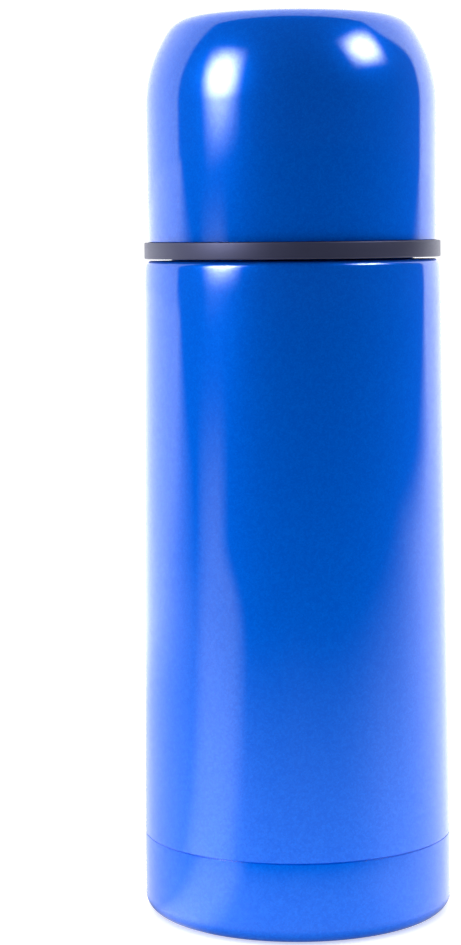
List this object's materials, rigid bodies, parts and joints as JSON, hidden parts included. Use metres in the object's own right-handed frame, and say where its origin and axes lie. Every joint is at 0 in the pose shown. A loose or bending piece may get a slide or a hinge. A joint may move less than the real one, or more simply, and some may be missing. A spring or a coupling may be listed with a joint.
{
  "type": "vacuum flask",
  "caption": "Slim insulated bottle with a domed screw-on drinking cup, a grey rim ring and a push-button pouring stopper inside.",
  "frame": {"origin": "middle of the face the flask stands on", "axes": "+Z is the axis of the flask, from the foot to the top of the cup"},
  "size_m": [0.0684, 0.0684, 0.1994],
  "materials": {
    "blue_paint": "satin metallic",
    "steel": "brushed",
    "grey_plastic": "fine matt",
    "black_plastic": "fine matt",
    "silicone": "matt silicone",
    "copper": "plain copper"
  },
  "bodies": {
    "flask": {"outer_shell": "blue_paint", "base_cup": "blue_paint", "vacuum_end_plate": "steel", "pinch_off_tube": "copper", "getter": "steel", "inner_vessel": "steel", "heat_shield_foil": "copper", "neck_collar": "black_plastic"},
    "cup_seal": {"cup_gasket": "silicone"},
    "cup": {"cup_shell": "blue_paint", "cup_liner": "steel", "cup_rim_ring": "grey_plastic"},
    "stopper_seal": {"stopper_seal_ring": "silicone"},
    "stopper": {"stopper_housing": "black_plastic", "stopper_cover": "grey_plastic", "stem_guide": "black_plastic", "stem_o_ring": "silicone", "button_spring": "steel"},
    "button": {"push_button": "grey_plastic", "valve_stem": "steel", "valve_disc": "black_plastic", "valve_seal": "silicone"}
  },
  "joints": [
    {"name": "cup_lift", "type": "slide", "parent": "flask", "child": "cup_seal", "axis": [0, 0, 1], "range_m": [0, 0.0481]},
    {"name": "cup_turn", "type": "hinge", "parent": "cup_seal", "child": "cup", "pos_m": [0, 0, 0.15], "axis": [0, 0, 1], "range_deg": [0, 2160]},
    {"name": "stopper_lift", "type": "slide", "parent": "flask", "child": "stopper_seal", "axis": [0, 0, 1], "range_m": [0, 0.0251]},
    {"name": "stopper_turn", "type": "hinge", "parent": "stopper_seal", "child": "stopper", "pos_m": [0, 0, 0.15], "axis": [0, 0, 1], "range_deg": [0, 1800]},
    {"name": "button_press", "type": "slide", "parent": "stopper", "child": "button", "axis": [0, 0, -1], "range_m": [0, 0.0035], "stiffness_N_per_m": 450, "springref_m": -0.007, "deforming": ["button_spring"]}
  ],
  "couplings": [
    {"joint": "cup_lift", "follows": "cup_turn", "m_per_rad": 0.0012732},
    {"joint": "stopper_lift", "follows": "stopper_turn", "m_per_rad": 0.00079577}
  ]
}
